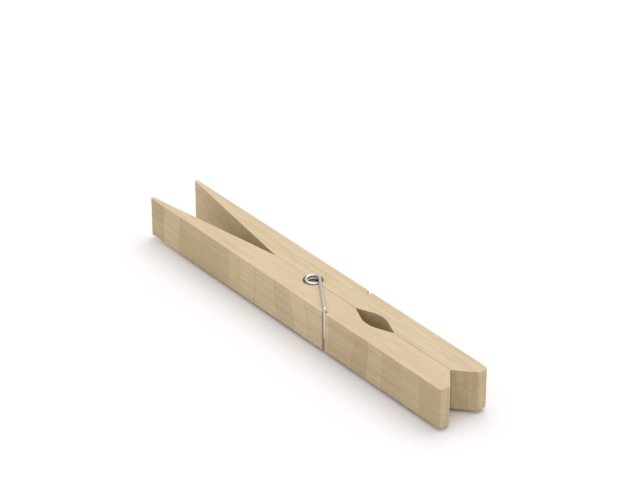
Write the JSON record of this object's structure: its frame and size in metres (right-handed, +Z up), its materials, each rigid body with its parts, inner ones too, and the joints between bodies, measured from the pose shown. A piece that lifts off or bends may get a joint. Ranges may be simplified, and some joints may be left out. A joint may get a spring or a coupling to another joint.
{
  "type": "spring clothespin",
  "caption": "Wooden spring clothespin: two prongs held by a steel torsion spring; squeezing the tails opens the jaws.",
  "frame": {"origin": "under the middle of the pin as it lies on its side, level with the lowest point of the spring's lower arm", "axes": "+X from the tails to the jaws, +Y across the seam towards back_prong, +Z up through the side faces"},
  "size_m": [0.088, 0.0116, 0.0099],
  "materials": {
    "prong_wood": "bare milled beech or birch, unvarnished",
    "spring_steel": "bright drawn spring wire"
  },
  "bodies": {
    "front_prong": {"front_prong": "prong_wood"},
    "back_prong": {"back_prong": "prong_wood"},
    "spring_upper": {"spring_upper": "spring_steel"},
    "spring_lower": {"spring_lower": "spring_steel"}
  },
  "joints": [
    {"name": "squeeze", "type": "hinge", "parent": "front_prong", "child": "back_prong", "pos_m": [-0.0112, 0, 0.00495], "axis": [0, 0, 1], "range_deg": [0, 17], "stiffness_Nm_per_rad": 0.06, "springref_deg": -57.3},
    {"name": "hook_turn", "type": "hinge", "parent": "front_prong", "child": "spring_upper", "pos_m": [0.0106, -0.0054, 0.00495], "axis": [0, 0, 1], "range_deg": [-11.2, 0]},
    {"name": "spring_wind", "type": "hinge", "parent": "spring_upper", "child": "spring_lower", "pos_m": [0.0004, 0, 0.00495], "axis": [0, 0, 1], "range_deg": [0, 39.5]}
  ],
  "couplings": [
    {"joint": "hook_turn", "follows": "squeeze", "ratio": -0.65},
    {"joint": "spring_wind", "follows": "squeeze", "ratio": 2.3}
  ]
}
